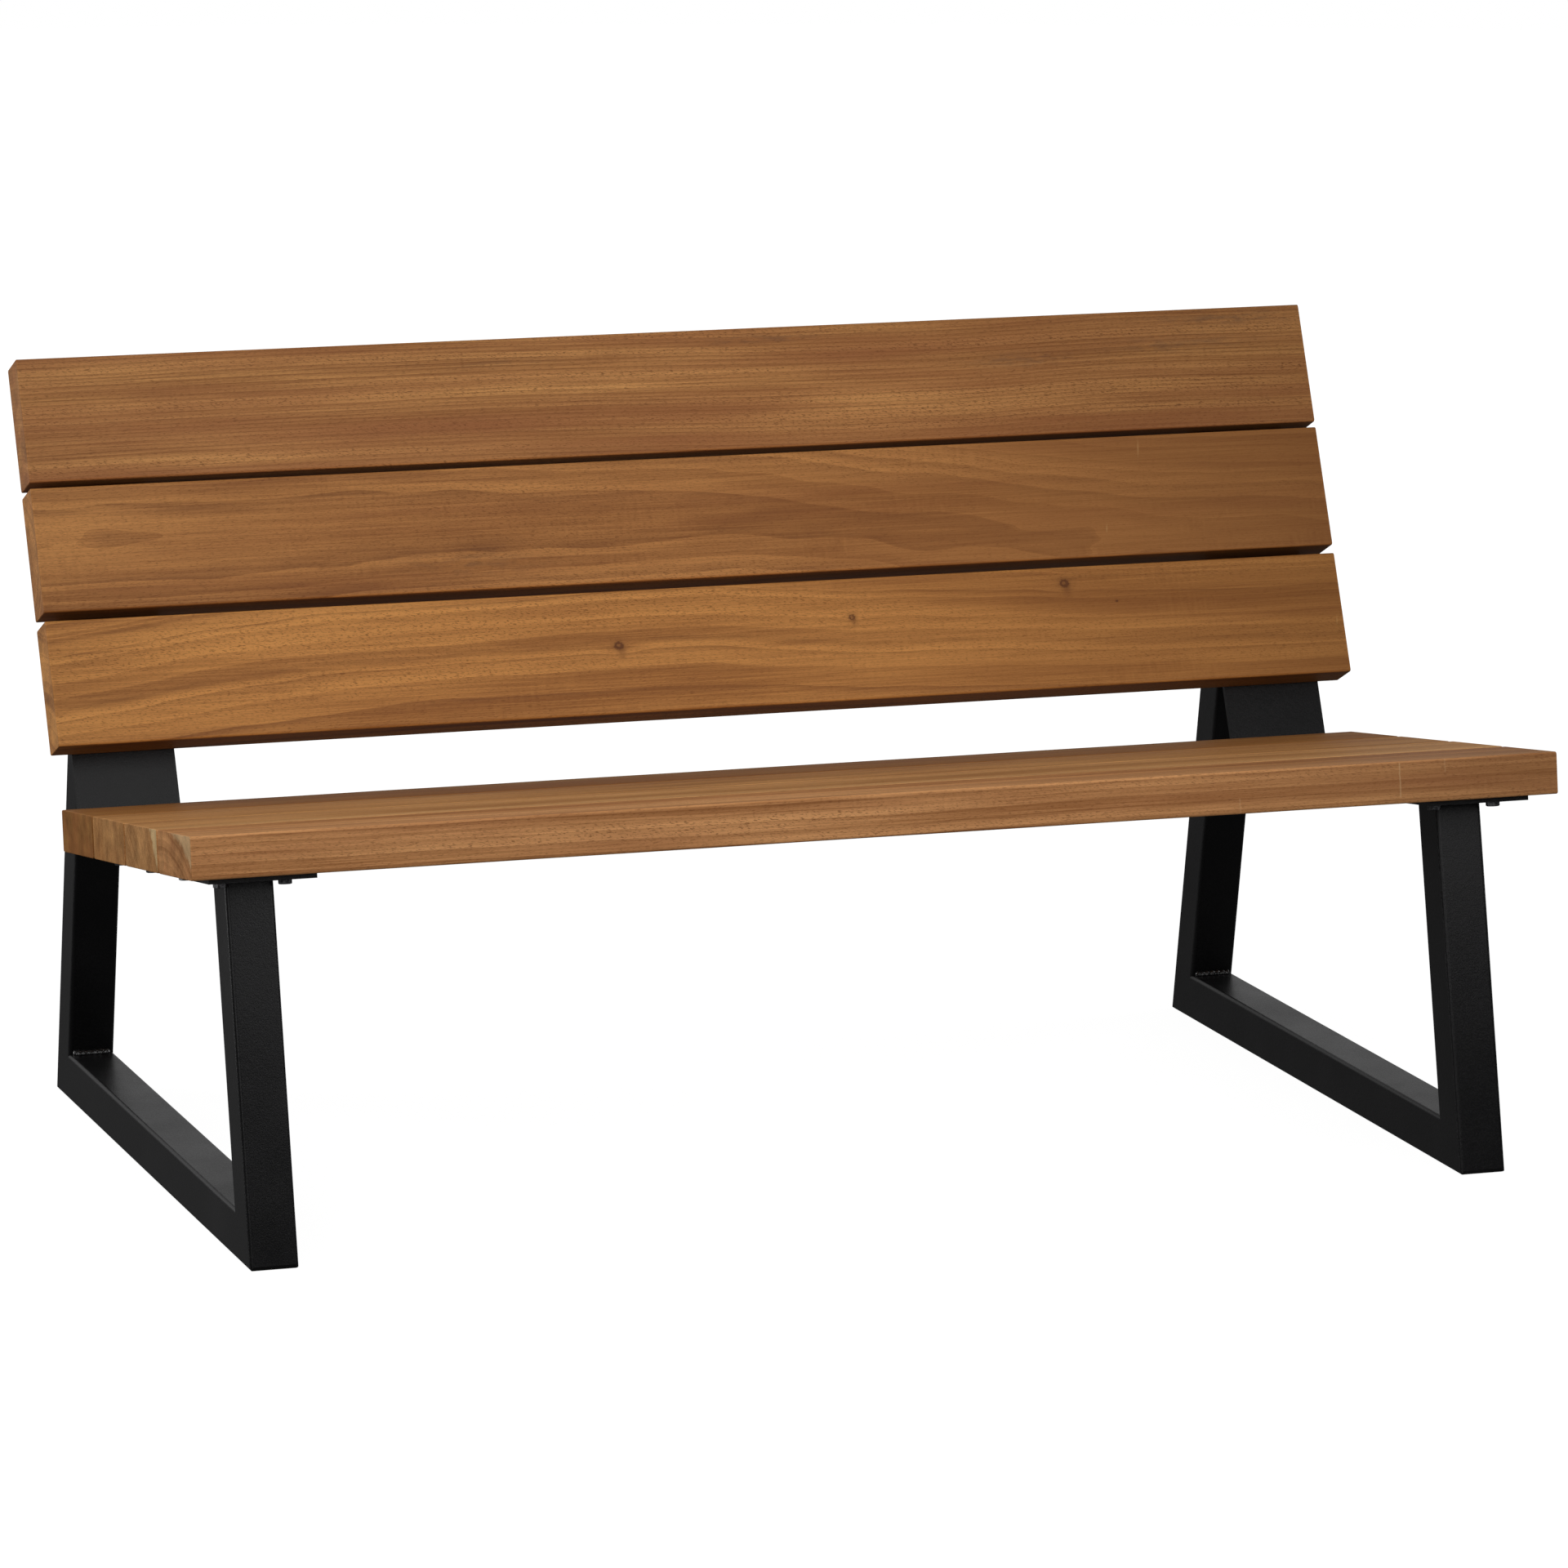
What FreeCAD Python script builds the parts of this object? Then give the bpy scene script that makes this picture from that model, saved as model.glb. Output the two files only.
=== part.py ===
import FreeCAD, Part
import math
import os

from FreeCAD import Matrix, Placement, Vector

os.makedirs("parts", exist_ok=True)

# Park bench with a back: seven alike hardwood planks on two welded steel frames.
# Millimetres, +Z up, +X to the sitter's left (a viewer's right), the front faces -Y.

# Planks
plank_length = 1450.0
plank_width = 135.0
plank_thickness = 44.0
plank_edge_radius = 3.0     # along the four long edges
plank_end_radius = 1.0      # round both ends
seat_planks = 4
back_planks = 3
seat_gap = 5.0              # between neighbouring seat planks
back_gap_lower = 9.0        # between the lowest and the middle back plank
back_gap_upper = 6.0        # between the middle and the highest back plank

# Sitting posture
seat_front_height = 440.0   # floor to the top of the seat's front edge
seat_rake = 8.0             # degrees, the seat falls towards the back
back_lean = 24.0            # degrees from upright
seat_rear_clearance = 12.0  # seat's rear edge to the back plate, along the seat
back_rise = 102.0           # along the back plate, from the seat plate to the lowest plank

# Steel frames, one near each end
frame_inset = 78.0          # plank end to the middle of a frame
tube_size = 50.0
tube_wall = 3.0
tube_radius = 4.0           # outside, along the tube's four edges
foot_radius = 4.0           # where leg and runner are ground round at the floor
plate_thickness = 6.0
plate_set_back = 25.0       # plate's free ends stop short of the outermost planks
front_leg_lean = 12.6       # degrees, the leg's top is further back than its foot
washer_to_front_leg = 5.5   # front screws' washers to the leg's front face, along the plate
rear_leg_lean = 11.25       # degrees, the leg's top is further forward than its foot
rear_leg_rise = 256.0       # along the back plate, from the seat plate to the leg's front face
corner_weld = 6.0           # leg of the beads inside the feet
plate_weld = 4.0            # leg of the beads where tubes and plates meet

# Coach screws with a hexagon head, each on a washer
screw_diameter = 8.0
screw_head_width = 13.0     # across the flats
screw_head_height = 5.5
screw_head_chamfer = 0.8    # height of the bevel round the head's rim
screw_head_bevel = 1.6      # and its width, in from the corners
screw_tip_length = 7.0
screw_cover = 6.6           # wood left over the screw's tip
screw_hole_clearance = 0.5  # all round, in the plate
washer_clearance = 0.2      # all round, over the screw
washer_diameter = 16.0
washer_thickness = 1.6
seat_screw_row = 33.0       # seat screws to the middle of the frame
washer_to_tube = 6.0        # back screws: washer's rim to the side of the leg
plate_margin = 16.0         # back screws to the plate's edge
head_turn_step = 23.0       # degrees each head is turned on from the one before

# Worked out from the above
back_screw_row = tube_size / 2 + washer_to_tube + washer_diameter / 2
plate_width = 2 * (back_screw_row + plate_margin)
front_leg_set_back = plank_width / 2 + washer_diameter / 2 + washer_to_front_leg - plate_set_back
frame_x = plank_length / 2 - frame_inset
seat_depth = seat_planks * plank_width + (seat_planks - 1) * seat_gap
seat_plate_length = seat_depth + seat_rear_clearance
back_gaps = [back_gap_lower, back_gap_upper]
back_height = back_planks * plank_width + sum(back_gaps)
reach = 2 * (seat_depth + back_height)      # longer than anything that is trimmed
overrun = 2 * plank_thickness               # plates are this much too long before trimming
touch = 1e-6                                # two measures closer than this are the same

across = Vector(1, 0, 0)
rearward = Vector(0, 1, 0)


def direction(angle):
    # Unit vector in the side view, from level and rearward at 0 to straight up at 90 degrees.
    return Vector(0, math.cos(math.radians(angle)), math.sin(math.radians(angle)))


def placed(origin, along):
    # Local X runs across the bench, local Y along the given direction, local Z out of the face.
    out = across.cross(along)
    return Placement(Matrix(1, along.x, out.x, origin.x,
                            0, along.y, out.y, origin.y,
                            0, along.z, out.z, origin.z,
                            0, 0, 0, 1))


def move(shape, placement):
    copy = shape.copy()
    copy.transformShape(placement.toMatrix(), True)
    return copy


def meet(point_a, along_a, point_b, along_b):
    # Where two lines of the side view cross.
    gap = point_b - point_a
    spread = along_a.y * along_b.z - along_a.z * along_b.y
    return point_a + along_a * ((gap.y * along_b.z - gap.z * along_b.y) / spread)


def prism(points, width):
    # A side-view outline, given thickness across the bench and centred on X = 0.
    wire = Part.makePolygon([p - across * (width / 2) for p in points + points[:1]])
    return Part.Face(wire).extrude(across * width)


def bead(corner, leg_a, leg_b, run):
    # Fillet weld: a triangle in the corner between two faces, drawn out along the joint.
    wire = Part.makePolygon([corner, corner + leg_a, corner + leg_b, corner])
    return Part.Face(wire).extrude(run)


def edges_along(shape, axis):
    found = []
    for edge in shape.Edges:
        line = edge.Vertexes[-1].Point - edge.Vertexes[0].Point
        if line.cross(axis).Length < touch:
            found.append(edge)
    return found


def plank(y_start):
    # Lies on local Z = 0 with its width along local Y.
    corner = Vector(-plank_length / 2, y_start, 0)
    board = Part.makeBox(plank_length, plank_width, plank_thickness, corner)
    board = board.makeFillet(plank_edge_radius, edges_along(board, across))
    ends = [e for e in board.Edges if abs(abs(e.BoundBox.Center.x) - plank_length / 2) < touch]
    return board.makeFillet(plank_end_radius, ends)


def shank():
    # Stands on the washer's lower face and points up into the wood.
    length = plate_thickness + washer_thickness + plank_thickness - screw_cover
    body = Part.makeCylinder(screw_diameter / 2, length - screw_tip_length)
    tip = Part.makeCone(screw_diameter / 2, 0, screw_tip_length,
                        Vector(0, 0, length - screw_tip_length))
    return body.fuse(tip).removeSplitter()


def head(turn):
    corner_radius = screw_head_width / 2 / math.cos(math.radians(30))
    corners = []
    for i in range(7):
        angle = math.radians(turn + 60 * i)
        corners.append(Vector(corner_radius * math.cos(angle), corner_radius * math.sin(angle), 0))
    hexagon = Part.Face(Part.makePolygon(corners)).extrude(Vector(0, 0, -screw_head_height))
    rim_radius = corner_radius - screw_head_bevel
    under = screw_head_height - screw_head_chamfer
    cap = Part.makeCone(corner_radius, rim_radius, screw_head_chamfer, Vector(0, 0, -under),
                        Vector(0, 0, -1))
    collar = Part.makeCylinder(corner_radius, under, Vector(0, 0, -under))
    return hexagon.common(collar.fuse(cap)).removeSplitter()


def washer():
    disc = Part.makeCylinder(washer_diameter / 2, washer_thickness)
    hole = Part.makeCylinder(screw_diameter / 2 + washer_clearance, washer_thickness)
    return disc.cut(hole)


def screw_places(plank_starts, row, first):
    # Two rows down the middles of the planks: position and head turn of each screw.
    places = []
    for start in plank_starts:
        for side in (-1, 1):
            places.append((Vector(side * row, start + plank_width / 2, 0),
                           (first + len(places)) * head_turn_step))
    return places


def plate(y_start, y_end, places):
    # Flat bar under local Z = 0, drilled for its screws.
    corner = Vector(-plate_width / 2, y_start, -plate_thickness)
    bar = Part.makeBox(plate_width, y_end - y_start, plate_thickness, corner)
    for centre, turn in places:
        hole = Part.makeCylinder(screw_diameter / 2 + screw_hole_clearance, plate_thickness,
                                 centre - Vector(0, 0, plate_thickness))
        bar = bar.cut(hole)
    return bar


def below(depth):
    # Everything lower than local Z = -depth, to trim what runs past a face.
    return Part.makeBox(reach, 2 * reach, reach, Vector(-reach / 2, -reach, -reach - depth))


def tube(outline, corner, up):
    # Square tube with its front face through the corner, trimmed to a side-view outline.
    half = tube_size / 2
    outer = Part.makeBox(tube_size, tube_size, 2 * reach, Vector(-half, 0, -reach))
    outer = outer.makeFillet(tube_radius, edges_along(outer, Vector(0, 0, 1)))
    bore_size = tube_size - 2 * tube_wall
    inner = Part.makeBox(bore_size, bore_size, 2 * reach,
                         Vector(-bore_size / 2, tube_wall, -reach))
    inner = inner.makeFillet(tube_radius - tube_wall, edges_along(inner, Vector(0, 0, 1)))
    back = Vector(0, up.z, -up.y)
    hollow = move(outer.cut(inner), placed(corner, back))
    return hollow.common(prism(outline, tube_size))


def side_beads(start, along, length, off_plate):
    # A weld on each side face of a leg, where it stands on a plate.
    beads = []
    for side in (-1, 1):
        outward = across * (side * plate_weld)
        foot = start + across * (side * tube_size / 2) + along * tube_radius
        beads.append(bead(foot, outward, off_plate * plate_weld, along * (length - 2 * tube_radius)))
    return beads


def cross_bead(corner, leg_a, leg_b, width):
    # A weld that runs across the bench, centred on X = 0.
    return bead(corner - across * (width / 2), leg_a, leg_b, across * width)


# Directions in the side view
seat_along = direction(-seat_rake)
seat_out = across.cross(seat_along)
back_along = direction(90 - back_lean)
back_out = across.cross(back_along)
front_up = direction(90 - front_leg_lean)
rear_up = direction(90 + rear_leg_lean)

# The seat's underside starts at its front edge; the back's plane starts where the plates meet
seat_origin = Vector(0, 0, seat_front_height) - seat_out * plank_thickness
back_origin = seat_origin + seat_along * seat_plate_length
seat_place = placed(seat_origin, seat_along)
back_place = placed(back_origin, back_along)

# Plank positions along each deck
seat_starts = [i * (plank_width + seat_gap) for i in range(seat_planks)]
back_starts = [back_rise + i * plank_width + sum(back_gaps[:i]) for i in range(back_planks)]
seat_screw_places = screw_places(seat_starts, seat_screw_row, 0)
back_screw_places = screw_places(back_starts, back_screw_row, len(seat_screw_places))

# Plates, still in their decks' own frames
seat_plate = plate(plate_set_back, seat_plate_length + overrun, seat_screw_places)
back_plate = plate(-overrun, back_rise + back_height - plate_set_back, back_screw_places)
seat_plate = move(seat_plate, seat_place).cut(move(below(0), back_place))
back_plate = move(back_plate, back_place).cut(move(below(plate_thickness), seat_place))

# Corners of the three tubes in the side view
seat_face = seat_origin - seat_out * plate_thickness
back_face = back_origin - back_out * plate_thickness
tube_step_front = Vector(0, front_up.z, -front_up.y) * tube_size
tube_step_rear = Vector(0, rear_up.z, -rear_up.y) * tube_size
floor_point = Vector(0, 0, 0)
runner_top = Vector(0, 0, tube_size)
front_top = seat_face + seat_along * (plate_set_back + front_leg_set_back)
front_top_rear = meet(front_top + tube_step_front, front_up, seat_face, seat_along)
front_foot = meet(front_top, front_up, floor_point, rearward)
front_inner = meet(front_top + tube_step_front, front_up, runner_top, rearward)
rear_top = back_face + back_along * rear_leg_rise
rear_top_rear = meet(rear_top + tube_step_rear, rear_up, back_face, back_along)
rear_foot = meet(rear_top + tube_step_rear, rear_up, floor_point, rearward)
rear_inner = meet(rear_top, rear_up, runner_top, rearward)

# The tubes, mitred at the feet, with the two outside corners there ground round
frame_outline = prism([front_foot, front_top, rear_top, rear_top_rear, rear_foot], tube_size)
foot_edges = [e for e in edges_along(frame_outline, across) if abs(e.BoundBox.Center.z) < touch]
frame_outline = frame_outline.makeFillet(foot_radius, foot_edges)
front_leg = tube([front_foot, front_inner, front_top_rear, front_top], front_top, front_up)
rear_leg = tube([rear_foot, rear_inner, rear_top, rear_top_rear], rear_top, rear_up)
runner = tube([front_foot, front_inner, rear_inner, rear_foot], floor_point, -rearward)
front_leg = front_leg.common(frame_outline)
rear_leg = rear_leg.common(frame_outline)
runner = runner.common(frame_outline)

# Welds: two inside the feet, four round the head of each leg, one between the plates
flat = tube_size - 2 * tube_radius
foot_welds = [
    cross_bead(front_inner, front_up * corner_weld, rearward * corner_weld, flat),
    cross_bead(rear_inner, rearward * -corner_weld, rear_up * corner_weld, flat),
]
plate_welds = [
    cross_bead(front_top, seat_along * -plate_weld, front_up * -plate_weld, flat),
    cross_bead(front_top_rear, seat_along * plate_weld, front_up * -plate_weld, flat),
    cross_bead(rear_top, back_along * -plate_weld, rear_up * -plate_weld, flat),
    cross_bead(rear_top_rear, back_along * plate_weld, rear_up * -plate_weld, flat),
    cross_bead(back_origin, seat_along * -plate_weld, back_along * plate_weld, plate_width),
]
plate_welds += side_beads(front_top, seat_along, (front_top_rear - front_top).Length, -seat_out)
plate_welds += side_beads(rear_top, back_along, (rear_top_rear - rear_top).Length, -back_out)


def screws(places, deck):
    set_depth = Vector(0, 0, -plate_thickness - washer_thickness)
    solids = []
    for centre, turn in places:
        screw = shank().fuse(head(turn)).removeSplitter()
        screw.translate(centre + set_depth)
        solids.append(move(screw, deck))
    return solids


def washers(places, deck):
    set_depth = Vector(0, 0, -plate_thickness - washer_thickness)
    solids = []
    for centre, turn in places:
        ring = washer()
        ring.translate(centre + set_depth)
        solids.append(move(ring, deck))
    return solids


# One frame with its screws, then a copy near each end
frame_pieces = {
    "front_leg": [front_leg],
    "rear_leg": [rear_leg],
    "runner": [runner],
    "seat_plate": [seat_plate],
    "back_plate": [back_plate],
    "foot_welds": foot_welds,
    "plate_welds": plate_welds,
    "seat_screws": screws(seat_screw_places, seat_place),
    "seat_washers": washers(seat_screw_places, seat_place),
    "back_screws": screws(back_screw_places, back_place),
    "back_washers": washers(back_screw_places, back_place),
}
nodes = {}
for side, x in (("left", -frame_x), ("right", frame_x)):
    for name, solids in frame_pieces.items():
        group = [s.translated(Vector(x, 0, 0)) for s in solids]
        nodes[side + "_" + name] = group

# Planks, bored by their own screws
decks = (
    ("seat_plank", seat_starts, seat_place, ("left_seat_screws", "right_seat_screws")),
    ("back_plank", back_starts, back_place, ("left_back_screws", "right_back_screws")),
)
for name, starts, place, screw_nodes in decks:
    for i, start in enumerate(starts):
        board = move(plank(start), place)
        for screw_node in screw_nodes:
            board = board.cut(Part.makeCompound(nodes[screw_node][2 * i:2 * i + 2]))
        nodes[name + "_" + str(i + 1)] = [board]

# Origin under the middle of the whole bench, on the floor
whole = Part.makeCompound([solid for group in nodes.values() for solid in group])
box = whole.BoundBox
shift = Vector(0, -(box.YMin + box.YMax) / 2, 0)
for name, group in nodes.items():
    solids = []
    for shape in group:
        solids += shape.Solids
    solids = [s.translated(shift) for s in solids]
    result = solids[0] if len(solids) == 1 else Part.makeCompound(solids)
    result.exportStep("parts/" + name + ".step")
    print(name, len(solids), round(result.Volume / 1000, 1), "cm3")
print("length, depth, height", round(box.XLength, 1), round(box.YLength, 1), round(box.ZLength, 1))
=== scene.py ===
import math

import bpy
import numpy as np
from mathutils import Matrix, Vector


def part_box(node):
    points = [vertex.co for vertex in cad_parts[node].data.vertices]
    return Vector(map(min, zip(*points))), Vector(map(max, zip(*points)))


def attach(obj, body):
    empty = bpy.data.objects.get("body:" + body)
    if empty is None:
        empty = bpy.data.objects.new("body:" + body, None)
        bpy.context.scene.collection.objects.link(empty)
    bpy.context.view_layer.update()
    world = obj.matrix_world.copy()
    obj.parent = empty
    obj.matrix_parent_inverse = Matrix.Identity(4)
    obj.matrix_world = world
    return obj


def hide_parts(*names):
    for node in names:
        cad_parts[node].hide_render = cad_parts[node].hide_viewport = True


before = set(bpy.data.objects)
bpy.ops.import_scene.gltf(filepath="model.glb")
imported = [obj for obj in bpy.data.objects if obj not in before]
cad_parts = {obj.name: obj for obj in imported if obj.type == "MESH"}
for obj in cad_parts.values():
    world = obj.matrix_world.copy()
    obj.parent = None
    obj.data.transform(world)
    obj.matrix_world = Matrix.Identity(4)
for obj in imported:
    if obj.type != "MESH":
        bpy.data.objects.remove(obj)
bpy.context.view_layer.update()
mm = 0.001
print("frame loaded:", len(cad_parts), "nodes")


def tone(red, green, blue):
    # Display colour, 0 to 255, as linear light: ((c + 0.055) / 1.055) ^ 2.4, or c / 12.92 when dark.
    shades = np.array([red, green, blue]) / 255
    light = np.where(shades > 0.04045, ((shades + 0.055) / 1.055) ** 2.4, shades / 12.92)
    return (*light.tolist(), 1.0)


class Wire:
    # One output socket. Sums on it add Math nodes to its sheet.
    def __init__(self, sheet, socket):
        self.sheet = sheet
        self.socket = socket

    def __add__(self, other):
        return self.sheet.maths("ADD", self, other)

    def __sub__(self, other):
        return self.sheet.maths("SUBTRACT", self, other)

    def __rsub__(self, other):
        return self.sheet.maths("SUBTRACT", other, self)

    def __mul__(self, other):
        return self.sheet.maths("MULTIPLY", self, other)

    def __truediv__(self, other):
        return self.sheet.maths("DIVIDE", self, other)

    def __rtruediv__(self, other):
        return self.sheet.maths("DIVIDE", other, self)

    def __pow__(self, other):
        return self.sheet.maths("POWER", self, other)

    def __rpow__(self, other):
        return self.sheet.maths("POWER", other, self)

    __radd__ = __add__
    __rmul__ = __mul__


class Sheet:
    # The nodes of a material, or of the world, being written.
    def __init__(self, owner):
        owner.use_nodes = True
        self.owner = owner
        self.tree = owner.node_tree
        self.tree.nodes.clear()

    def node(self, kind, settings=None, values=None, out=0):
        # Any node: its settings are set first, then the values or links of its sockets.
        made = self.tree.nodes.new(kind)
        for key, value in (settings or {}).items():
            if key == "stops":
                self.setStops(made.color_ramp, value)
            else:
                setattr(made, key, value)
        for key, value in (values or {}).items():
            if isinstance(value, Wire):
                self.tree.links.new(value.socket, made.inputs[key])
            else:
                made.inputs[key].default_value = value
        return Wire(self, made.outputs[out]) if len(made.outputs) else made

    def setStops(self, ramp, stops):
        # A smooth grey curve through (place, height) stops.
        ramp.interpolation = "CARDINAL"
        while len(ramp.elements) < len(stops):
            ramp.elements.new(0.5)
        for element, (place, shade) in zip(ramp.elements, stops):
            element.position = place
            element.color = (shade, shade, shade, 1)

    def maths(self, operation, *values):
        # One Math node on wires and numbers.
        return self.node("ShaderNodeMath", {"operation": operation}, dict(enumerate(values)))

    def split(self, vector):
        return [self.node("ShaderNodeSeparateXYZ", None, {0: vector}, axis) for axis in range(3)]

    def join(self, x, y, z):
        return self.node("ShaderNodeCombineXYZ", None, {0: x, 1: y, 2: z})

    def place(self, turned=None):
        # Where a point is on its object, in millimetres; turned moves and turns the axes first.
        spot = self.node("ShaderNodeTexCoord", None, None, 3)
        if turned:
            spot = self.node("ShaderNodeMapping", {"vector_type": "TEXTURE"}, {"Vector": spot, **turned})
        return self.node("ShaderNodeVectorMath", {"operation": "SCALE"}, {0: spot, "Scale": 1000.0})

    def noise(self, place, size, shift=0.0, detail=1.0, rough=0.5):
        # Soft noise whose features are about size across, swinging evenly about 0.
        spread = tuple(1 / s for s in size)
        spot = self.node("ShaderNodeVectorMath", {"operation": "MULTIPLY_ADD"},
                         {0: place, 1: spread, 2: (shift, shift * 0.7, shift * 1.3)})
        return self.node("ShaderNodeTexNoise", None,
                         {"Vector": spot, "Scale": 1.0, "Detail": detail, "Roughness": rough}) - 0.5

    def rise(self, value, low, high):
        # 0 below low, 1 above high, smooth between.
        return self.node("ShaderNodeMapRange", {"interpolation_type": "SMOOTHSTEP"},
                         {"Value": value, "From Min": low, "From Max": high})

    def hump(self, value, middle, width):
        # exp(-((value - middle) / width) ^ 2): a soft peak.
        off = (value - middle) / width
        return self.maths("EXPONENT", off * off * -1.0)

    def blend(self, share, first, second, mode="MIX"):
        # first * (1 - share) + second * share, in colour; MULTIPLY tints first by second.
        return self.node("ShaderNodeMix", {"data_type": "RGBA", "blend_type": mode},
                         {0: share, 6: first, 7: second}, 2)

    def bump(self, height, strength, distance):
        return self.node("ShaderNodeBump", None,
                         {"Height": height, "Strength": strength, "Distance": distance})

    def finish(self, values):
        # One Principled skin on the material.
        skin = self.node("ShaderNodeBsdfPrincipled", None, values)
        self.node("ShaderNodeOutputMaterial", None, {"Surface": skin})
        return self.owner


def deckTurn(first, last):
    # A deck's angle from level: the way up it is from its first plank to its last.
    low = sum(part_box(first), Vector()) / 2
    high = sum(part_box(last), Vector()) / 2
    return math.atan2(high.z - low.z, high.y - low.y)


seatTurn = deckTurn("seat_plank_1", "seat_plank_4")
backTurn = deckTurn("back_plank_1", "back_plank_3")

# What holds for every plank, in millimetres across the wood.
timber = {
    "light": tone(214, 154, 97),
    "dark": tone(140, 88, 48),
    "red": tone(152, 94, 58),
    "lineTone": tone(110, 66, 36),
    "poreTone": tone(92, 52, 30),
    "sapTone": tone(218, 178, 126),
    "stainTone": tone(92, 70, 60),
    "endShade": 0.80,
    "arrisHighlight": 0.12,          # painted highlight: how much lighter the rounded edges are
    "roughness": 0.52,
    "sheen": 0.28,              # strength of the gloss on the back planks
    "seatSheen": 0.03,          # and on the seat, low so that its colour holds at a grazing angle
    "narrowPaintedShade": 0.62,        # painted shade on the back planks' long narrow faces, against their broad ones
    "courseLength": 1500.0,     # how much of the plank's length a course covers
    "courseSpan": 200.0,        # highest less lowest that a course can go
    "fleckLean": 0.13,          # how steeply the pores' flecks run off the plank's length
    "fleckSize": (5.5, 0.85, 0.85),     # along, up and deep, as for the next ones
    "fibreSize": (90, 0.9, 0.9),
    "streakSize": (260, 4, 4),
    "cloudSize": (330, 55, 55),
    "edgeRadius": 3.0,
    "endRadius": 1.0,
}

# Each plank's own tree, in millimetres from the plank's middle. The heart is (up, deep) and dives
# along the plank; years are that far apart, and a year's line is the sharper the higher its edge.
# The course is how high the grain runs at each place along. Towards the right end the wood takes painted
# shade: drift, below 0, darkens it, calm quietens its figure, and the painted shade key after them dims it
# all; cast is the colour it is tinted by.
# Sap is how far from the heart the sapwood starts. Stains are (along, up, long, tall, strength),
# dents, knots and pips (along, up, size), and joints (along, lowest, highest, strength), which are
# lines across the long edges.
plankLooks = {
    "back_plank_3": {
        "seed": 3.1, "heart": (-235, -60), "dive": 0.0, "years": 4.4, "wander": 8, "wobble": 1.5,
        "line": 0.75, "edge": 5.0,
        "course": [(-725, 0), (-300, 3), (0, -2), (300, -6), (500, -1), (725, -4)],
        "ribbon": 0.9, "pores": 1.0, "tint": 0.35, "cast": (1.33, 1.37, 1.20),
        "drift": 0.0, "calm": 0.0, "paintedShadeRight": 0.15,
        "stains": [(400, 18, 60, 7, 0.5), (575, 28, 70, 8, 0.45), (92, 54, 60, 4, 0.5),
                   (640, 55, 80, 8, 0.5), (-210, 40, 60, 4, 0.25)],
    },
    "back_plank_2": {
        "seed": 8.4, "heart": (2, -47), "dive": -0.0139, "years": 10.5, "wander": 15, "wobble": 8,
        "line": 0.45, "edge": 1.9,
        "course": [(-725, 0), (-484, 0), (-300, 6), (-100, 4), (50, 0), (200, -20), (340, -40),
                   (470, -58), (600, -66), (725, -68)],
        "ribbon": 0.95, "pores": 1.0, "tint": 0.1, "cast": (1.13, 1.07, 0.86),
        "drift": -0.00022, "calm": 0.55, "paintedShadeRight": 0.17,
        "stains": [(-260, -38, 70, 14, 0.35)],
        "dents": [(513, 52, 8), (464, -36, 4)],
    },
    "back_plank_1": {
        "seed": 2.2, "heart": (-150, -75), "dive": 0.004, "years": 16.0, "wander": 11, "wobble": 5,
        "line": 0.45, "edge": 2.2,
        "course": [(-725, -35), (-600, -20), (-470, -7), (-340, -1), (-200, 1), (-60, 4), (30, 0),
                   (145, -10), (250, -15), (390, -22), (545, -28), (725, -31)],
        "ribbon": 1.15, "pores": 0.9, "tint": 0.0, "cast": (1.26, 1.20, 0.87),
        "drift": -0.00028, "calm": 0.40, "paintedShadeRight": 0.17,
        "knots": [(-106, 7, 3.6), (159, 24, 2.6), (406, 49, 3.6)],
        "pips": [(464, 26, 1.2)],
        "dents": [(717, -9, 4)],
    },
    "seat_plank_1": {
        "seed": 11.9, "heart": (60, -190), "dive": 0.002, "years": 8.6, "wander": 7, "wobble": 2,
        "line": 0.5, "edge": 4.0, "course": [(-725, 0), (-300, 1), (0, 3), (400, 1), (725, 0)],
        "ribbon": 0.95, "pores": 1.0, "tint": 0.15, "cast": (1.29, 1.35, 1.50), "sap": 217,
        "drift": -0.00016, "calm": 0.2, "paintedShadeRight": 0.24,
        "joints": [(549.5, -15, 20, 1.0), (599.7, 8, 22, 0.5), (373, -22, -6, 0.5)],
    },
    "seat_plank_2": {
        "seed": 14.2, "heart": (150, -120), "dive": 0.003, "years": 5.0, "wander": 8, "wobble": 2,
        "line": 0.3, "edge": 6.0, "course": [(-725, 0), (0, 4), (725, -3)],
        "ribbon": 0.5, "pores": 0.7, "tint": 0.0, "cast": (1.33, 1.50, 1.62), "sap": 236,
        "drift": 0.0, "calm": 0.0, "paintedShadeRight": 0.07,
    },
    "seat_plank_3": {
        "seed": 17.8, "heart": (-260, -20), "dive": 0.0, "years": 4.4, "wander": 8, "wobble": 2,
        "line": 0.3, "edge": 6.0, "course": [(-725, 2), (0, 0), (725, 5)],
        "ribbon": 0.6, "pores": 0.7, "tint": 0.15, "cast": (1.23, 1.36, 1.40),
        "drift": 0.0, "calm": 0.0, "paintedShadeRight": 0.07,
    },
    "seat_plank_4": {
        "seed": 21.3, "heart": (210, -80), "dive": 0.004, "years": 5.4, "wander": 9, "wobble": 2,
        "line": 0.35, "edge": 6.0, "course": [(-725, 0), (0, -4), (725, 0)],
        "ribbon": 0.6, "pores": 0.7, "tint": 0.6, "cast": (1.11, 1.29, 1.10),
        "drift": 0.0, "calm": 0.0, "paintedShadeRight": 0.07,
    },
}


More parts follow.
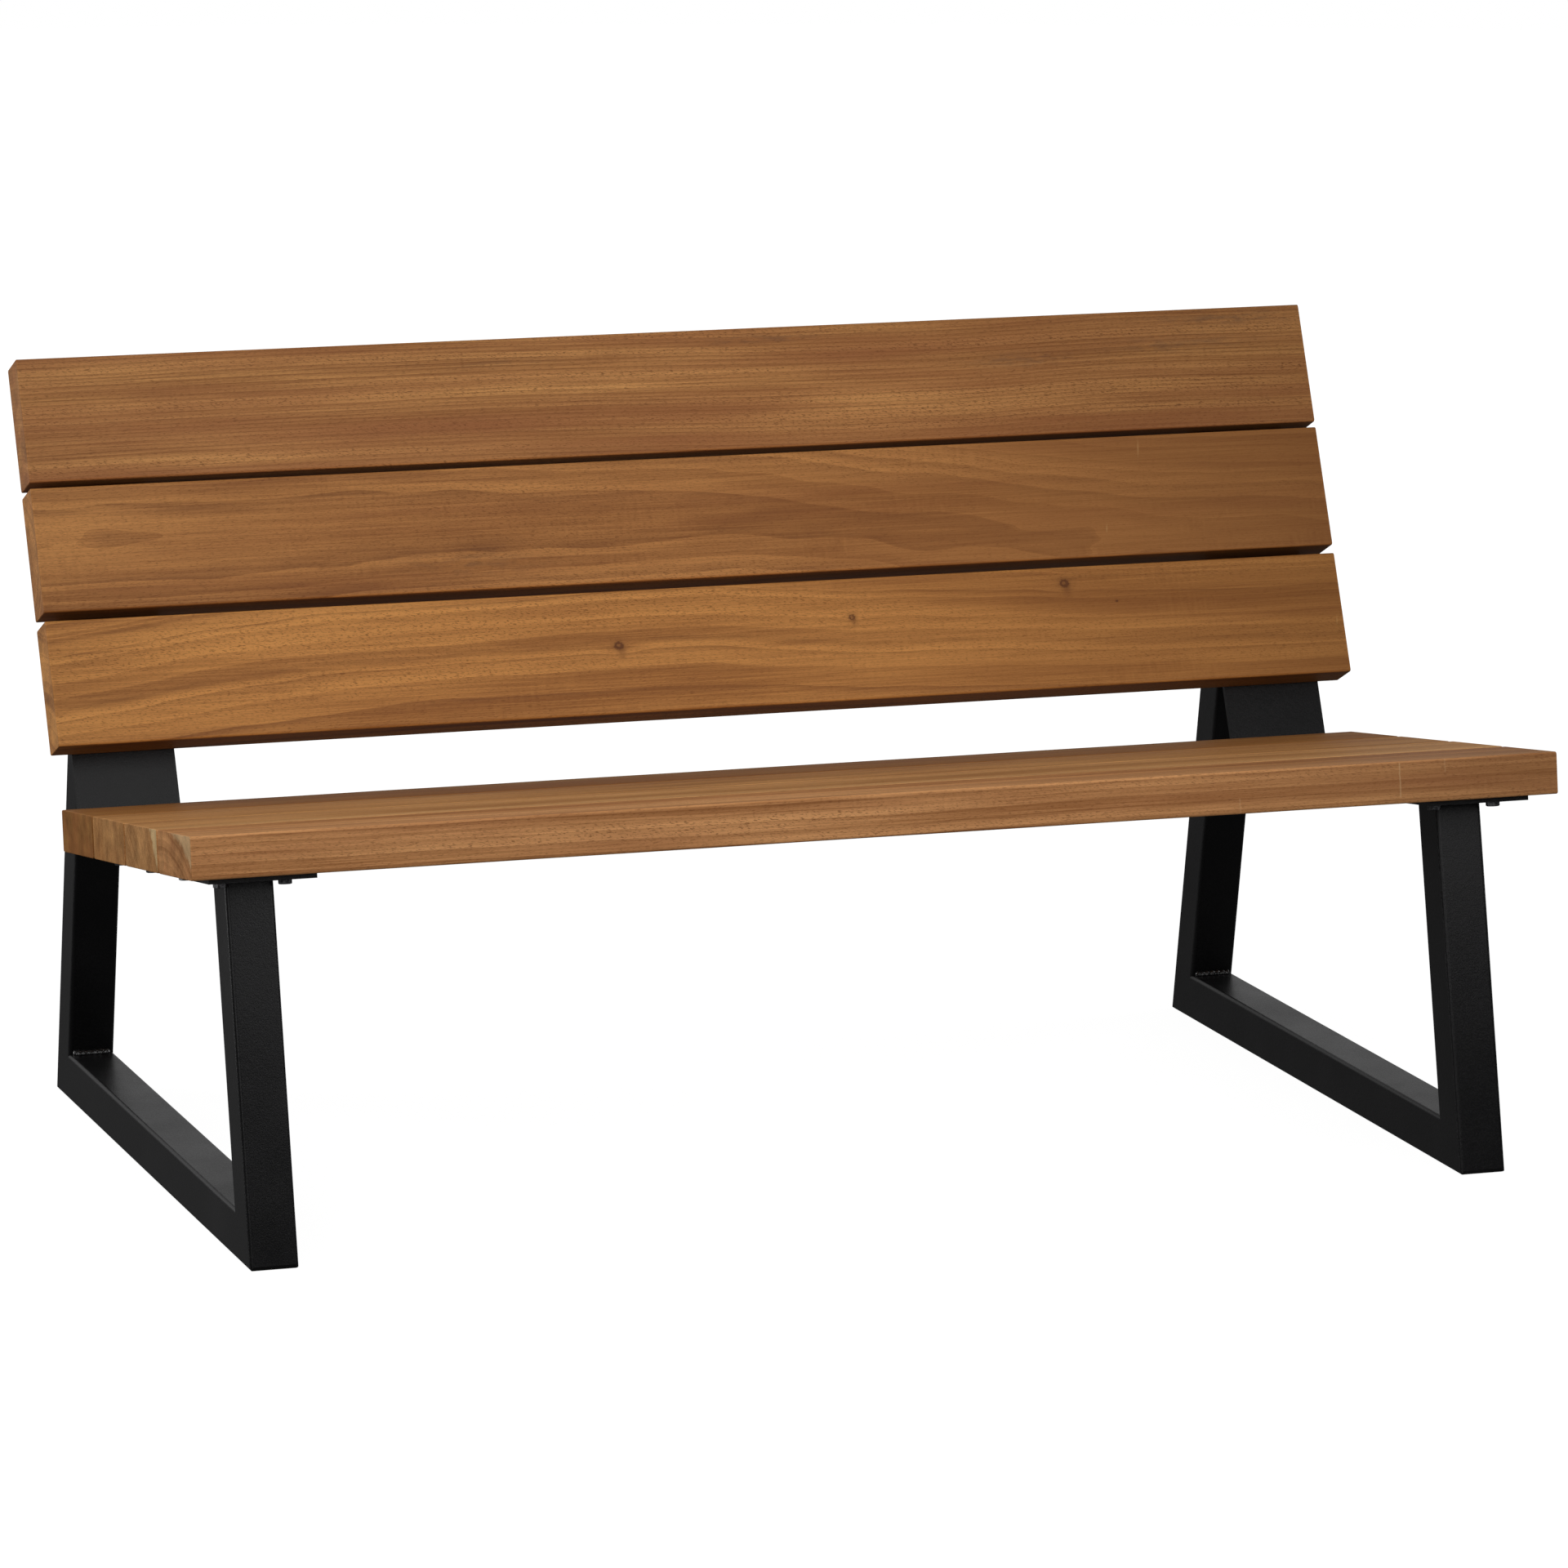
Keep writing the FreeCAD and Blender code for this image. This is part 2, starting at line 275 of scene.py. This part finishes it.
def timberMaterial(name, looks, centre, turn, halfLength, width, thick):
    # Solid wood, in millimetres along the plank, up across its width, and deep through it. Its
    # year rings are distance from the heart / years; ribbons of pores, fibres, streaks and clouds
    # are noise stretched along the grain, and each of these moves the colour from dark to light.
    sheet = Sheet(bpy.data.materials.new(name))
    seed = looks["seed"]
    spot = sheet.place({"Location": centre, "Rotation": (turn, 0, 0)})
    along, up, deep = sheet.split(spot)

    # The course is how high a grain line runs at each place along the plank.
    length, span = timber["courseLength"], timber["courseSpan"]
    stops = [(place / length + 0.5, height / span + 0.5) for place, height in looks["course"]]
    course = sheet.node("ShaderNodeValToRGB", {"stops": stops}, {0: along / length + 0.5})
    level = up - (course - 0.5) * span

    # Knots push the year rings aside. Each is a ragged dark ring with a shadow below it.
    push = 0.0
    knotDark = 0.0
    for place, height, size in looks.get("knots", []):
        near = sheet.hump(along, place, size * 6) * sheet.hump(up, height, size * 3)
        push = near * (size * 1.6) + push
        aside = (along - place) * 0.8
        above = up - height
        off = sheet.maths("SQRT", aside * aside + above * above)
        ragged = off + sheet.noise(spot, (2, 2, 2), seed) * 3.0
        below = sheet.hump(along, place + size * 0.7, size * 1.3)
        below = below * sheet.hump(up, height - size * 1.8, size * 2.2)
        knotDark = sheet.hump(ragged, size * 0.85, size * 0.35) * 0.7 + knotDark
        knotDark = sheet.hump(off, 0.0, size * 1.8) * 0.35 + below * 0.35 + knotDark
    for place, height, size in looks.get("pips", []):
        pip = sheet.hump(along, place, size * 1.4) * sheet.hump(up, height, size)
        knotDark = pip * 1.2 + knotDark

    # Year rings: distance from the heart, wandering slowly. A line darkens late in its year.
    heartUp, heartDeep = looks["heart"]
    upOff = level - heartUp
    deepOff = deep - heartDeep - along * looks["dive"]
    radius = sheet.maths("SQRT", upOff * upOff + deepOff * deepOff) + push
    radius = radius + sheet.noise(spot, (420, 60, 60), seed, 2) * looks["wander"]
    radius = radius + sheet.noise(spot, (105, 30, 30), seed + 3, 1) * looks["wobble"]
    uneven = sheet.noise(sheet.join(radius, 0.0, 0.0), (21, 1, 1), seed + 5, 2) * 2.6
    year = radius / looks["years"] + uneven
    whole = sheet.maths("FLOOR", year)
    part = year - whole
    vigour = sheet.node("ShaderNodeTexWhiteNoise", {"noise_dimensions": "1D"}, {"W": whole + seed})
    fade = 1.0 - sheet.rise(part, 0.90, 1.0)
    broken = sheet.rise(sheet.noise(spot, (60, 5, 5), seed + 11, 2), -0.2, 0.15) * 0.7 + 0.3
    line = part ** looks["edge"] * fade * (vigour * 0.8 + 0.2) * broken

    # Ribbons: bands of years whose fibres lean one way, then the other.
    band = sheet.join(along / 900.0, year * 0.42, seed)
    ribbon = sheet.rise(sheet.noise(band, (1, 1, 1), seed + 9, 1.5), -0.16, 0.16)
    lean = timber["fleckLean"]
    fleckSize = timber["fleckSize"]
    oneWay = sheet.join(along, up + along * lean, deep + along * lean)
    otherWay = sheet.join(along, up - along * (lean * 0.5), deep - along * (lean * 0.5))
    fleckOne = sheet.rise(sheet.noise(oneWay, fleckSize, seed, 1), 0.05, 0.17)
    fleckTwo = sheet.rise(sheet.noise(otherWay, fleckSize, seed + 2, 1), 0.06, 0.20)
    pores = fleckOne * ribbon + fleckTwo * (1.0 - ribbon) * 0.7

    # Finer and broader figure, and a ripple across the grain in places.
    fibre = sheet.noise(spot, timber["fibreSize"], seed + 4, 2)
    streak = sheet.noise(spot, timber["streakSize"], seed + 6, 2)
    cloud = sheet.noise(spot, timber["cloudSize"], seed + 8, 2)
    rippled = sheet.rise(sheet.noise(spot, (120, 40, 40), seed + 12, 1), 0.0, 0.15)
    ripple = sheet.noise(spot, (5, 30, 30), seed + 7, 1) * rippled
    warmth = sheet.noise(spot, (420, 30, 30), seed + 10, 2)

    value = (ribbon - 0.5) * (0.5 * looks["ribbon"]) + fibre * 1.1 + streak * 0.7
    # Painted shade towards the right end: calm quietens the figure there, and drift, below 0, darkens the
    # wood.
    lively = 1.0 - sheet.rise(along, -200.0, 500.0) * looks["calm"]
    value = (value + cloud * 1.1 - (part - 0.4) * 0.3) * lively
    value = value + ripple * 0.3 + 0.5 + along * looks["drift"]
    value = sheet.rise(value, -0.35, 1.35)
    wood = sheet.blend(value, timber["dark"], timber["light"])
    wood = sheet.blend(sheet.rise(warmth + looks["tint"], 0.05, 0.75), wood, timber["red"])

    # End grain drinks more oil, the rounded edges get a painted highlight, and sapwood is paler.
    reach = sheet.maths("ABSOLUTE", along)
    end = sheet.rise(reach, halfLength - 0.5, halfLength - 0.1)
    side = sheet.rise(sheet.maths("ABSOLUTE", up), width / 2 - 3.0, width / 2 - 0.8)
    brink = sheet.rise(sheet.maths("ABSOLUTE", deep), thick / 2 - 3.0, thick / 2 - 0.8)
    nearEnd = sheet.rise(reach, halfLength - 2.2, halfLength - 0.8)
    endArris = nearEnd * (1.0 - end) * sheet.maths("MAXIMUM", side, brink)
    arris = sheet.maths("MAXIMUM", side * brink, endArris)
    if "sap" in looks:
        ragged = sheet.noise(spot, (30, 7, 7), seed + 13, 2) * 12.0
        sap = sheet.rise(radius + cloud * 8.0 + ragged, looks["sap"], looks["sap"] + 7.0)
        front = sheet.rise(up * -1.0, 64.0, 67.0)      # the front edge
        wood = sheet.blend(sap * (0.10 + end * 0.70 - front * 0.1), wood, timber["sapTone"])
    wood = sheet.blend(line * lively * (1.0 - end * 0.5) * (looks["line"] * 1.3), wood, timber["lineTone"])
    wood = sheet.blend(pores * lively * (0.62 * looks["pores"]), wood, timber["poreTone"])

    for place, height, long, tall, strength in looks.get("stains", []):
        stain = sheet.hump(along, place, long) * sheet.hump(up, height, tall)
        stain = stain * sheet.rise(sheet.noise(spot, (22, 5, 5), seed + place, 2), -0.15, 0.2)
        wood = sheet.blend(stain * strength, wood, timber["stainTone"])
    if looks.get("knots") or looks.get("pips"):
        wood = sheet.blend(sheet.maths("MINIMUM", knotDark, 0.85), wood, timber["poreTone"])

    # Small dents and old joints show paler.
    scar = 0.0
    for place, height, size in looks.get("dents", []):
        bend = along - place - (up - height) * 0.12
        scar = sheet.hump(bend, 0.0, 0.8) * sheet.hump(up, height, size) * 0.4 + scar
    for place, low, high, strength in looks.get("joints", []):
        shake = sheet.noise(spot, (50, 50, 9), seed, 1) * 2.5
        cut = sheet.hump(along + shake, place, 0.7)
        held = sheet.rise(deep, low - 1.0, low + 1.0) * (1.0 - sheet.rise(deep, high - 1.0, high + 1.0))
        scar = cut * held * (0.42 * strength) + scar
    if looks.get("dents") or looks.get("joints"):
        wood = sheet.blend(scar, wood, timber["sapTone"])

    # Painted shade towards the right end, saw marks on the ends, and painted shade on the back planks'
    # narrow faces.
    darker = sheet.rise(along, 150.0, 750.0) * looks["paintedShadeRight"]
    sawn = sheet.noise(spot, (40, 0.8, 30), seed + 14, 1) * 0.35
    sawn = sawn + sheet.noise(spot, (60, 22, 22), seed + 15, 3) * 0.9
    darker = darker - sawn * end
    # Painted shade on the back planks' long narrow faces, in the gaps between them and underneath.
    if name.startswith("back"):
        narrow = sheet.rise(sheet.maths("ABSOLUTE", up), width / 2 - 0.8, width / 2 - 0.05)
        darker = darker + narrow * (1.0 - timber["narrowPaintedShade"])
    # The colour's multiplier: darker end grain and saw marks, a painted highlight on the rounded edges,
    # and painted shade towards the right end and on the back planks' narrow faces.
    shade = 1.0 - end * (1.0 - timber["endShade"]) + arris * timber["arrisHighlight"] - darker
    red, green, blue = looks["cast"]
    wood = sheet.blend(1.0, wood, sheet.join(shade * red, shade * green, shade * blue), "MULTIPLY")

    roughness = timber["roughness"] + pores * 0.12 + fibre * 0.25 + end * 0.15 - line * 0.05
    height = pores * -0.7 + fibre * 0.5 - line * 0.25 + ripple * 0.25
    sheen = timber["seatSheen"] if name.startswith("seat") else timber["sheen"]
    return sheet.finish({"Base Color": wood, "Roughness": roughness, "IOR": 1.45,
                         "Specular IOR Level": sheen, "Normal": sheet.bump(height, 0.5, 0.08 * mm)})


def roundedProfile(width, thick, radius):
    # Outline of a plank across its length: straight sides joined by quarter circles, with rows
    # close to each arc so that the flats stay flat. Returns up, deep and the outward direction.
    arcSteps, broadRows, narrowRows = 8, 16, 5
    sideRows = np.array([0.0, 0.006, 0.03])
    corners = [(1, 1, 0), (-1, 1, 90), (-1, -1, 180), (1, -1, 270)]
    ups, deeps, turns = [], [], []
    for index, (signUp, signDeep, start) in enumerate(corners):
        angle = np.radians(start + np.linspace(0, 90, arcSteps + 1))
        ups.append(signUp * (width / 2 - radius) + radius * np.cos(angle))
        deeps.append(signDeep * (thick / 2 - radius) + radius * np.sin(angle))
        turns.append(angle)
        nextUp, nextDeep, _ = corners[(index + 1) % 4]
        flat = math.radians(start + 90)
        startUp, startDeep = ups[-1][-1], deeps[-1][-1]
        endUp = nextUp * (width / 2 - radius) + radius * math.cos(flat)
        endDeep = nextDeep * (thick / 2 - radius) + radius * math.sin(flat)
        count = broadRows if abs(endUp - startUp) > abs(endDeep - startDeep) else narrowRows
        share = np.concatenate([sideRows[1:], np.linspace(sideRows[-1], 1 - sideRows[-1], count)[1:-1],
                                1 - sideRows[:0:-1]])
        ups.append(startUp + (endUp - startUp) * share)
        deeps.append(startDeep + (endDeep - startDeep) * share)
        turns.append(np.full(share.size, flat))
    return np.concatenate(ups), np.concatenate(deeps), np.concatenate(turns)


def slowWave(generator, along, size, waves=5, longest=1.4):
    # Sum of sines of random length and phase, at most size high.
    total = np.zeros_like(along)
    for _ in range(waves):
        length = longest / generator.uniform(1, 9)
        total = total + np.sin(2 * math.pi * along / length + generator.uniform(0, 2 * math.pi))
    return total * size / waves


def tubeFaces(rings, around, start=0):
    # Quads between neighbouring rings of a closed outline, and one face over each end: point
    # number = start + ring * around + step.
    ring, step = np.meshgrid(np.arange(rings - 1), np.arange(around), indexing="ij")
    after = (step + 1) % around
    quads = np.stack([ring * around + step, ring * around + after, (ring + 1) * around + after,
                      (ring + 1) * around + step], -1).reshape(-1, 4) + start
    first = np.arange(around)[::-1] + start
    last = np.arange(around) + (rings - 1) * around + start
    return quads.tolist() + [first.tolist(), last.tolist()]


def makePiece(name, points, faces, replaced, material):
    # A smooth mesh of the points and faces, which rides on the root and stands for CAD nodes.
    shape = bpy.data.meshes.new(name)
    shape.from_pydata(points.reshape(-1, 3), [], faces)
    shape.shade_smooth()
    shape.materials.append(material)
    piece = bpy.data.objects.new(name, shape)
    bpy.context.scene.collection.objects.link(piece)
    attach(piece, "root")
    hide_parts(*replaced)
    return piece


plankMake = {
    "seed": 41,
    "sandingWander": 0.10,      # half of how far a face strays from flat, mm
    "faceRing": 0.8,            # a first ring this far in on each end face, mm
    "endSteps": 6,              # rings round each end's small radius
    "rings": 120,               # rings along the rest
    "ringsFrom": 20,            # and how far from the ends they start, mm
    "shortRight": {"seat_plank_3": 1.2, "seat_plank_4": 2.0},   # short at the right end, mm
}


def makePlank(node, turn):
    # Rounded outline carried along X, drawn in along quarter circles at both ends. The node's box
    # gives the width w and thickness t, turned by a: depth = w cos a + t sin a less the corners'
    # rounding, and height = w sin a + t cos a less the same.
    low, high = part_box(node)
    centre = (low + high) / 2
    size = (high - low) / mm
    radius = timber["edgeRadius"]
    cosine, sine = abs(math.cos(turn)), abs(math.sin(turn))
    soft = 2 * radius * (1 - cosine - sine)
    width, thick = np.linalg.solve([[cosine, sine], [sine, cosine]], [size.y - soft, size.z - soft])
    half = size.x / 2

    ups, deeps, turns = roundedProfile(width, thick, radius)
    endRadius = timber["endRadius"]
    bow = np.radians(np.linspace(0, 90, plankMake["endSteps"]))
    inset = np.concatenate([[endRadius + plankMake["faceRing"]], endRadius * (1 - np.sin(bow))])
    fromEnd = np.concatenate([[0.0], endRadius * (1 - np.cos(bow))])
    nearEnd = np.array([1.5, 3.0, 8.0]) + endRadius
    shortRight = plankMake["shortRight"].get(node, 0.0)
    far = half - plankMake["ringsFrom"]
    middle = np.linspace(-far, far, plankMake["rings"])
    alongs = np.concatenate([-half + fromEnd, -half + nearEnd, middle,
                             half - shortRight - nearEnd[::-1], half - shortRight - fromEnd[::-1]])
    insets = np.concatenate([inset, np.zeros(middle.size + 2 * nearEnd.size), inset[::-1]])

    along = alongs[:, None]
    drawn = insets[:, None]
    generator = np.random.default_rng(plankMake["seed"] + int(plankLooks[node]["seed"]))
    wander = plankMake["sandingWander"]
    stray = slowWave(generator, along * mm, wander) - wander
    strayUp = np.abs(np.cos(turns)) > 0.5
    shrink = drawn - stray * np.where(strayUp, 0.6, 1.0)
    up = ups - np.sign(ups) * np.minimum(shrink * np.abs(np.cos(turns)), np.abs(ups))
    deep = deeps - np.sign(deeps) * np.minimum(shrink * np.abs(np.sin(turns)), np.abs(deeps))
    points = np.stack([along + up * 0,
                       up * math.cos(turn) - deep * math.sin(turn),
                       up * math.sin(turn) + deep * math.cos(turn)], -1) * mm + np.array(centre)
    material = timberMaterial(node + "_timber", plankLooks[node], centre, turn, half, width, thick)
    return makePiece(node + "_board", points, tubeFaces(alongs.size, ups.size),
                     [node], material)


for number in range(1, 5):
    makePlank(f"seat_plank_{number}", seatTurn)
for number in range(1, 4):
    makePlank(f"back_plank_{number}", backTurn)
print("planks made")


coat = {
    "black": (0.0040, 0.0039, 0.0044, 1.0),
    "worn": (0.0098, 0.0092, 0.0102, 1.0),
    "roughness": 0.35,
    "sheen": 0.30,              # strength of the gloss
    "grain": 1.4,               # size of the powder's texture, mm
    "peel": 5,                  # of the orange peel under it
    "cloud": 70,                # and of the worn patches
    "depth": 0.22,              # how deep the texture is, mm
}


def coatMaterial(name, matt, sheen):
    # Fine powder texture over a slow orange peel, clouded from black to a little worn.
    sheet = Sheet(bpy.data.materials.new(name))
    spot = sheet.place()
    fine = sheet.noise(spot, [coat["grain"]] * 3, 0.0, 2)
    peel = sheet.noise(spot, [coat["peel"]] * 3, 4.0, 1)
    cloud = sheet.noise(spot, [coat["cloud"]] * 3, 9.0, 3)
    colour = sheet.blend(sheet.rise(cloud + fine * 1.6, -0.2, 0.5), coat["black"], coat["worn"])
    roughness = matt + fine * 0.25 + cloud * 0.15
    return sheet.finish({"Base Color": colour, "Roughness": roughness, "IOR": 1.5,
                         "Specular IOR Level": sheen,
                         "Normal": sheet.bump(fine + peel * 0.5, 0.6, coat["depth"] * mm)})


zinc = {
    "bright": tone(128, 128, 130),
    "dull": tone(58, 58, 61),
    "roughness": 0.40,
    "bloom": 3,                 # size of the blooms, mm
    "brush": (0.3, 6, 0.3),     # and of the brush marks
}


def zincMaterial():
    # Dull and bright blooms a few millimetres across, with fine brush marks.
    sheet = Sheet(bpy.data.materials.new("zinc_plate"))
    spot = sheet.place()
    bloom = sheet.noise(spot, [zinc["bloom"]] * 3, 1.0, 3)
    brush = sheet.noise(spot, zinc["brush"], 2.0, 1)
    colour = sheet.blend(sheet.rise(bloom, -0.2, 0.2), zinc["dull"], zinc["bright"])
    roughness = zinc["roughness"] + bloom * 0.3 + brush * 0.1
    return sheet.finish({"Base Color": colour, "Roughness": roughness, "Metallic": 1.0,
                         "Normal": sheet.bump(brush, 0.2, 0.05 * mm)})


powderCoat = coatMaterial("powder_coat", coat["roughness"], coat["sheen"])
zincPlate = zincMaterial()
for name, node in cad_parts.items():
    if name.endswith(("screws", "washers")):
        node.data.materials[0] = zincPlate
    elif not name.endswith("welds") and "plank" not in name:
        node.data.materials[0] = powderCoat

bead = {
    "pitch": 2.1,               # one ripple to the next, mm
    "ripple": 0.42,             # how high a ripple stands, mm
    "uneven": 0.22,             # how much the bead swells and shrinks along its run
    "haste": 0.25,              # how unevenly the ripples follow each other
    "crescent": 1.1,            # how far a ripple bows, in pitches
    "roughness": 0.17,          # thick coat flows smooth over a weld
    "sheen": 0.75,              # strength of the gloss
    "crown": 0.20,              # how far the face bulges, as a share of the leg
    "closing": 0.6,             # how far from its end a bead starts to close, as a share of the leg
    "sunk": 0.5,                # how far the root goes into the corner, mm
    "rows": 9,                  # rows of points to a ripple
    "across": 13,               # points across the face
}


def weldSolids(node):
    # The triangular prisms of a weld node, each as its corner, its two leg ends, and its run. A
    # prism is the points that triangles join; its axis is the way it is longest, and its corner is
    # where the two sides of equal length meet.
    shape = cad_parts[node].data
    places = np.zeros(len(shape.vertices) * 3)
    shape.vertices.foreach_get("co", places)
    corners = np.zeros(len(shape.loops), int)
    shape.loops.foreach_get("vertex_index", corners)
    places, back = np.unique(np.round(places.reshape(-1, 3), 6), axis=0, return_inverse=True)
    triangles = back.reshape(-1)[corners].reshape(-1, 3)
    label = np.arange(len(places))
    joinRounds = 8
    for _ in range(joinRounds):
        np.minimum.at(label, triangles, label[triangles].min(1)[:, None])
    solids = []
    for group in np.unique(label):
        prism = places[label == group]
        middle = prism.mean(0)
        axis = np.linalg.svd(prism - middle)[2][0]
        axis = axis if axis.sum() > 0 else -axis
        side = (prism - middle) @ axis
        first = prism[side < 0]
        run = prism[side > 0].mean(0) - first.mean(0)
        sides = np.linalg.norm(np.roll(first, -1, 0) - first, axis=1)
        uneven = np.abs(sides - np.roll(sides, 1))
        apex = int(np.argmin(uneven))
        solids.append((first[apex], first[(apex + 1) % 3], first[(apex + 2) % 3], run))
    return solids


def beadSurface(corner, endA, endB, run, seed):
    # A bulging face swept along the run: P(s, t) = corner + (1 - t) a + t b + out sin(pi t),
    # with crescent ripples in s, its root sunk behind the corner, and both ends drawn in.
    generator = np.random.default_rng(seed)
    length = np.linalg.norm(run)
    legA, legB = endA - corner, endB - corner
    leg = np.linalg.norm(legA)
    if np.dot(np.cross(legA, legB), run) < 0:
        legA, legB = legB, legA
    out = (legA + legB) / np.linalg.norm(legA + legB)
    rows = max(24, int(length / mm / bead["pitch"] * bead["rows"]))
    s = np.linspace(0, 1, rows)[:, None]
    t = np.linspace(0, 1, bead["across"])[None, :]
    beat = np.cumsum(1 + bead["haste"] * generator.standard_normal(rows))[:, None] / rows
    phase = beat * length / mm / bead["pitch"] - bead["crescent"] * (4 * t * (1 - t))
    ripple = np.abs(np.sin(math.pi * phase)) ** 0.6 * bead["ripple"] * mm
    swell = 1 + slowWave(generator, s * length, bead["uneven"], 4, 0.05)
    edge = np.minimum(s, 1 - s) * length / (leg * bead["closing"])
    closing = np.sqrt(np.clip(1 - (1 - np.clip(edge, 0, 1)) ** 2, 0.02, 1))
    bulge = np.sin(math.pi * t)
    reach = (bulge ** 0.5 * ripple + bulge * bead["crown"] * leg)[..., None]
    face = (1 - t)[..., None] * legA + t[..., None] * legB
    scale = (swell * closing)[..., None]
    skin = corner + s[..., None] * run + (face + reach * out) * scale
    root = corner + s * run - out * bead["sunk"] * mm
    return np.concatenate([skin, root[:, None, :]], 1)


beadCoat = coatMaterial("bead_coat", bead["roughness"], bead["sheen"])


def makeBeads(node):
    # One bead surface over each prism of the weld node, all in one mesh.
    points, faces, start = [], [], 0
    for number, solid in enumerate(weldSolids(node)):
        grid = beadSurface(*solid, number + len(node))
        faces += tubeFaces(grid.shape[0], grid.shape[1], start)
        points.append(grid.reshape(-1, 3))
        start += len(points[-1])
    return makePiece(node.replace("welds", "beads"), np.concatenate(points), faces,
                     [node], beadCoat)


for side in ("left", "right"):
    makeBeads(side + "_foot_welds")
    makeBeads(side + "_plate_welds")
print("steel finished and welds laid")


floorLook = {
    "radius": 12.0,
    "rings": 24,
    "around": 96,
    "drop": 0.3,                # how far it lies under the runners, mm
    "grain": 0.004,             # size of its grain, m
    "shadow": 0.12,             # how much of the bench's shadow it takes near the middle
    "clear": 2.2,               # how far out it has faded to plain white, m
    "glow": 1.1,
}


def makeFloor():
    # A disc: radius times (cos a, sin a), level just under the runners. It glows white, and near
    # the middle a share of it is a matt floor that takes the bench's shadow.
    share = np.linspace(0, 1, floorLook["rings"])[1:, None]
    angle = np.linspace(0, 2 * math.pi, floorLook["around"], endpoint=False)[None, :]
    reach = share * floorLook["radius"]
    level = reach * angle * 0 - floorLook["drop"] * mm
    points = np.stack([reach * np.cos(angle), reach * np.sin(angle), level], -1)
    faces = tubeFaces(floorLook["rings"] - 1, floorLook["around"])
    shape = bpy.data.meshes.new("floor")
    shape.from_pydata(points.reshape(-1, 3), [], faces[:-1])
    sheet = Sheet(bpy.data.materials.new("pale_floor"))
    spot = sheet.node("ShaderNodeTexCoord", None, None, 3)
    grain = sheet.noise(spot, [floorLook["grain"]] * 3, 0.0, 2)
    pale = sheet.blend(grain * 0.04 + 0.5, (0.86, 0.86, 0.86, 1), (0.9, 0.9, 0.9, 1))
    away = sheet.node("ShaderNodeVectorMath", {"operation": "LENGTH"}, {0: spot}, 1)
    share = (1.0 - sheet.rise(away, 1.0, floorLook["clear"])) * floorLook["shadow"]
    glow = sheet.node("ShaderNodeEmission", None, {"Color": (1, 1, 1, 1), "Strength": floorLook["glow"]})
    matt = sheet.node("ShaderNodeBsdfDiffuse", None, {"Color": pale})
    both = sheet.node("ShaderNodeMixShader", None, {0: share, 1: glow, 2: matt})
    sheet.node("ShaderNodeOutputMaterial", None, {"Surface": both})
    shape.materials.append(sheet.owner)
    floor = bpy.data.objects.new("floor", shape)
    bpy.context.scene.collection.objects.link(floor)
    floor.visible_diffuse = False
    floor.visible_glossy = False


makeFloor()

lamps = {
    "leftBox": {"from": (-1.6, -1.9, 1.2), "aim": (-0.2, 0.0, 0.45), "size": (1.2, 1.3), "power": 9.7},
    "frontBox": {"from": (0.55, -1.7, 1.0), "aim": (0.1, 0.0, 0.45), "size": (1.9, 0.7), "power": 8.0},
    "sideBox": {"from": (-2.6, 1.2, 0.8), "aim": (-0.3, 0.0, 0.35), "size": (0.9, 1.4), "power": 22},
    "topBox": {"from": (-0.2, -0.6, 2.2), "aim": (-0.2, 0.0, 0.3), "size": (2.4, 1.4), "power": 5.4},
    "rightBox": {"from": (2.8, 0.5, 0.9), "aim": (0.4, 0.0, 0.4), "size": (0.9, 1.4), "power": 12},
    "highBox": {"from": (-0.3, -1.8, 2.0), "aim": (-0.2, 0.0, 0.4), "size": (1.8, 1.2), "power": 7.2},
}


def makeLamp(name, look):
    # A soft box at from, facing along aim less from.
    light = bpy.data.lights.new(name, "AREA")
    light.shape = "RECTANGLE"
    light.size, light.size_y = look["size"]
    light.energy = look["power"]
    lamp = bpy.data.objects.new(name, light)
    lamp.location = look["from"]
    lamp.rotation_euler = (Vector(look["aim"]) - Vector(look["from"])).to_track_quat("-Z", "Y").to_euler()
    lamp.visible_camera = False
    bpy.context.scene.collection.objects.link(lamp)


for name, look in lamps.items():
    makeLamp(name, look)

room = {"behind": 0.36, "around": 0.075}     # what the bright wall adds, and the light all round


def makeRoom():
    # White behind everything for the camera; the light it gives is a bright wall behind the bench.
    world = bpy.data.worlds.new("studio")
    bpy.context.scene.world = world
    sheet = Sheet(world)
    way = sheet.node("ShaderNodeTexCoord", None, None, 0)
    x, y, z = sheet.split(way)
    wall = sheet.rise(y, -0.1, 0.6) * sheet.rise(z, -0.1, 0.03)
    light = wall * room["behind"] + room["around"]
    seen = sheet.node("ShaderNodeLightPath", None, None, 0)
    strength = seen * (1.0 - light) + light
    glow = sheet.node("ShaderNodeBackground", None, {"Color": (1, 1, 1, 1), "Strength": strength})
    sheet.node("ShaderNodeOutputWorld", None, {"Surface": glow})


makeRoom()
bpy.context.scene.view_settings.view_transform = "Standard"

view = {"from": (-2.5644, -7.8006, 1.9757), "turn": (78.751, -0.1, -18.311), "lens": 182.5,
        "sensor": 36.0, "shift": (0.0001, 0.01837)}


def makeCamera():
    # The view is distance times sensor / lens wide; turn is in degrees about X, Y and Z.
    lens = bpy.data.cameras.new("camera")
    lens.lens = view["lens"]
    lens.sensor_width = view["sensor"]
    lens.shift_x, lens.shift_y = view["shift"]
    camera = bpy.data.objects.new("camera", lens)
    camera.location = view["from"]
    camera.rotation_euler = [math.radians(angle) for angle in view["turn"]]
    bpy.context.scene.collection.objects.link(camera)
    bpy.context.scene.camera = camera


makeCamera()
print("studio set")
